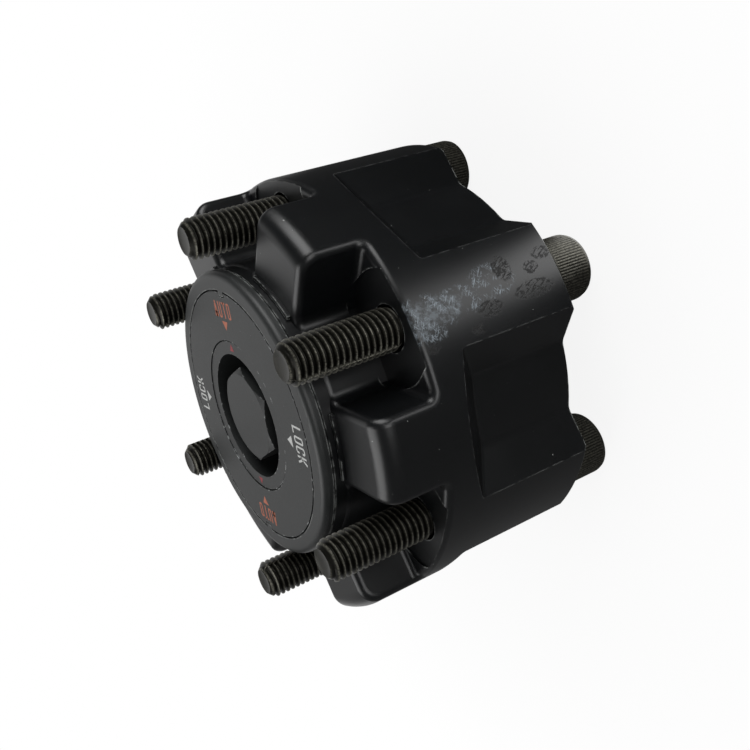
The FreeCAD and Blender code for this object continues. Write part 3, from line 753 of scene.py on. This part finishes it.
def print_marks(orange, white, red):
    """AUTO above and below, LOCK on both sides, each over its arrow, and the dial's two marks."""
    arrow = triangle(arrow_tip_r, arrow_base_r, arrow_half_width)
    auto = word_outlines("AUTO", auto_letter_width, auto_letter_step, auto_foot_r) + arrow
    lock = word_outlines("LOCK", lock_letter_width, lock_letter_step, lock_foot_r) + arrow
    mark = triangle(dial_mark_tip_r, dial_mark_base_r, dial_mark_half_width)
    on_label = ("casing", "label_charcoal")
    for number in (1, 2):
        angle = 180 * number - 90
        printed(f"auto_mark_{number}", auto, angle, label_face_z, orange, *on_label)
        printed(f"dial_mark_{number}", mark, angle, dial_face_z, red, "dial", "dial_charcoal")
    for number in (1, 2):
        printed(f"lock_mark_{number}", lock, 180 * number - 180, label_face_z, white, *on_label)


def dress(materials):
    """Gives each node of the frame the material of what it is made of."""
    for node, material in materials.items():
        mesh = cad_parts[node].data
        mesh.materials.clear()
        mesh.materials.append(material)


def lobe(tree, way, towards, full, none):
    """1 within an angle of a direction in degrees, 0 past another and smooth between."""
    length = math.sqrt(sum(part * part for part in towards))
    unit = tuple(part / length for part in towards)
    along = add(tree, "VectorMath", (way, unit), out="Value", operation="DOT_PRODUCT")
    return step_up(tree, along, math.cos(math.radians(none)), math.cos(math.radians(full)))


def studio_level(tree, way):
    """What reflections see in a direction: a dim room, white behind the object, and two painted highlights,
    soft-box glows that are no lamps.
    """
    parts = tree.nodes.new("ShaderNodeSeparateXYZ")
    tree.links.new(way, parts.inputs[0])
    heights = {"Value": parts.outputs["Y"], "From Min": -1.0}
    levels = {"To Min": room_level_below, "To Max": room_level_above}
    room = add(tree, "MapRange", heights | levels)
    backdrop = lobe(tree, way, backdrop_way, *backdrop_angles)
    # Painted highlights: the side and back glows show only in reflections and are no lamps.
    painted_side_glow = times(tree, lobe(tree, way, painted_side_glow_way, *painted_side_glow_angles), painted_side_glow_level)
    painted_back_glow = times(tree, lobe(tree, way, painted_back_glow_way, *painted_back_glow_angles), painted_back_glow_level)
    painted_glows = add(tree, "Math", (painted_side_glow, painted_back_glow), operation="ADD")
    return add(tree, "Math", (painted_glows, largest(tree, room, backdrop)), operation="ADD")


def pale_floor():
    """Plain pale floor under the screw heads. To the eye it is white, with the object's shadow kept, and
    fades to pure white before the horizon. To reflections it glows with painted highlights, the two
    soft-box glows, over a dim room and a white backdrop, though it is no lamp."""
    half = floor_half_width
    z = head_face_z - floor_gap
    points = np.array([(-half, -half, z), (half, -half, z), (half, half, z), (-half, half, z)], float)
    mesh = bpy.data.meshes.new("floor")
    mesh.from_pydata((points * MM).tolist(), [], [(0, 1, 2, 3)])
    floor = bpy.data.objects.new("floor", mesh)
    bpy.context.scene.collection.objects.link(floor)
    material = new_material("pale_studio_floor")
    tree = material.node_tree
    place = object_place(tree)
    away = add(tree, "VectorMath", (place,), out="Value", operation="LENGTH")
    level_place = add(tree, "VectorMath", (place, (1.0, 1.0, 0.0)), operation="MULTIPLY")
    level_way = add(tree, "VectorMath", (level_place,), operation="NORMALIZE")
    sloped = add(tree, "VectorMath", (level_way, (0.0, 0.0, floor_slope)), operation="SUBTRACT")
    way = add(tree, "VectorMath", (sloped,), operation="NORMALIZE")
    rays = tree.nodes.new("ShaderNodeLightPath")
    seen = largest(tree, rays.outputs["Is Camera Ray"], rays.outputs["Is Transmission Ray"])
    lit = add(tree, "BsdfDiffuse", {"Color": linear("#f4f4f4")})
    white = add(tree, "Emission", {"Color": pure_white, "Strength": 1.0})
    # Painted reflection: to reflections the floor glows with the studio's levels, painted soft-box highlights
    # included, though it is no lamp.
    room = add(tree, "Emission", {"Color": pure_white, "Strength": studio_level(tree, way)})
    reach = {"Value": away, "From Min": shadow_inner_r * MM, "From Max": shadow_outer_r * MM}
    whiter = add(tree, "MapRange", reach | {"To Min": floor_whiteness})
    shader = add(tree, "MixShader", (times(tree, seen, whiter), lit, white))
    shader = add(tree, "MixShader", (rays.outputs["Is Glossy Ray"], shader, room))
    mesh.materials.append(finish_material(material, shader))


def studio_world():
    """White to the camera, a plain even level for the light, and in reflections a dim room, white backdrop
    and two painted soft-box highlights, which are no lamps.
    """
    world = bpy.data.worlds.new("studio")
    world.use_nodes = True
    tree = world.node_tree
    tree.nodes.clear()
    rays = tree.nodes.new("ShaderNodeLightPath")
    way = add(tree, "TexCoord", out="Generated")
    seen = largest(tree, rays.outputs["Is Camera Ray"], rays.outputs["Is Transmission Ray"])
    # Painted reflections: glossy rays alone see the soft-box glows.
    glossy = {0: rays.outputs["Is Glossy Ray"], 2: sky_level, 3: studio_level(tree, way)}
    level = add(tree, "Mix", glossy, data_type="FLOAT")
    level = add(tree, "Mix", {0: seen, 2: level, 3: 1.0}, data_type="FLOAT")
    sky = add(tree, "Background", {"Color": pure_white, "Strength": level})
    output = tree.nodes.new("ShaderNodeOutputWorld")
    tree.links.new(sky, output.inputs["Surface"])
    bpy.context.scene.world = world


def soft_lamp(name, place, width, height, power):
    """Large soft box at a place in millimetres, aimed at the object."""
    lamp = bpy.data.lights.new(name, "AREA")
    lamp.shape = "RECTANGLE"
    lamp.size = width * MM
    lamp.size_y = height * MM
    lamp.energy = power
    holder = bpy.data.objects.new(name, lamp)
    bpy.context.scene.collection.objects.link(holder)
    start = Vector(place) * MM
    holder.location = start
    holder.rotation_euler = (Vector(lamp_aim) * MM - start).to_track_quat("-Z", "Y").to_euler()


def photograph_camera():
    """Camera where the photograph was taken, with its lens and framing."""
    camera = bpy.data.cameras.new("camera")
    camera.lens = camera_lens
    camera.sensor_width = camera_sensor_width
    camera.shift_x, camera.shift_y = camera_shift
    camera.clip_start = camera_near * MM
    holder = bpy.data.objects.new("camera", camera)
    holder.location = [value * MM for value in camera_place]
    holder.rotation_euler = [math.radians(value) for value in camera_angles]
    bpy.context.scene.collection.objects.link(holder)
    bpy.context.scene.camera = holder


bpy.context.scene.view_settings.view_transform = "Standard"
photograph_camera()
studio_world()
pale_floor()
soft_lamp("upper_box", place=(60, 620, 160), width=520, height=420, power=3.0)
soft_lamp("camera_side_box", place=(620, 160, 120), width=400, height=400, power=1.5)
soft_lamp("dial_side_box", place=(-120, -220, 620), width=500, height=500, power=2.2)

casting = casting_paint()
phosphate = screw_steel()
label = charcoal_enamel("charcoal_enamel_on_label", "#191b1b", "#202222")
dial = charcoal_enamel("charcoal_enamel_on_dial", "#171919", "#1e2020")
rubber = moulded_rubber()
spring = plain_steel("oiled_spring_steel", "#5a5a5c", "#77777a", 0.28, 0.42, 0.3)
bearing = plain_steel("ground_bearing_steel", "#b4b5b8", "#c6c7ca", 0.12, 0.22, 0.15)
turned_steel = plain_steel("turned_and_broached_steel", "#86868a", "#9d9da1", 0.25, 0.4, 0.25)
brass = plain_steel("stamped_cage_brass", "#a98348", "#bd9757", 0.25, 0.38, 0.4)

dress({
    "hub_body": casting,
    "label_plate": label,
    "selector_dial": dial,
    "rear_seal_ring": rubber,
    "dial_seal_ring": rubber,
    "dial_circlip": spring,
    "bearing_circlip": spring,
    "drive_circlip": spring,
    "follower_circlip": spring,
    "detent_spring": spring,
    "shift_spring": spring,
    "return_spring": spring,
    "detent_ball": bearing,
    "bearing_balls": bearing,
    "bearing_inner_ring": bearing,
    "bearing_outer_ring": bearing,
    "cam_pins": bearing,
    "bearing_cage": brass,
    "shift_follower": turned_steel,
    "clutch_ring": turned_steel,
    "drive_hub": turned_steel,
    "flange_bolts": phosphate,
})
for number in range(screw_count):
    flange_screw(number, phosphate)
return_coil(spring)
print_marks(
    printing_ink("orange_screen_ink", "#a5593c"),
    printing_ink("white_screen_ink", "#b9bab8"),
    printing_ink("dark_red_screen_ink", "#861823"),
)
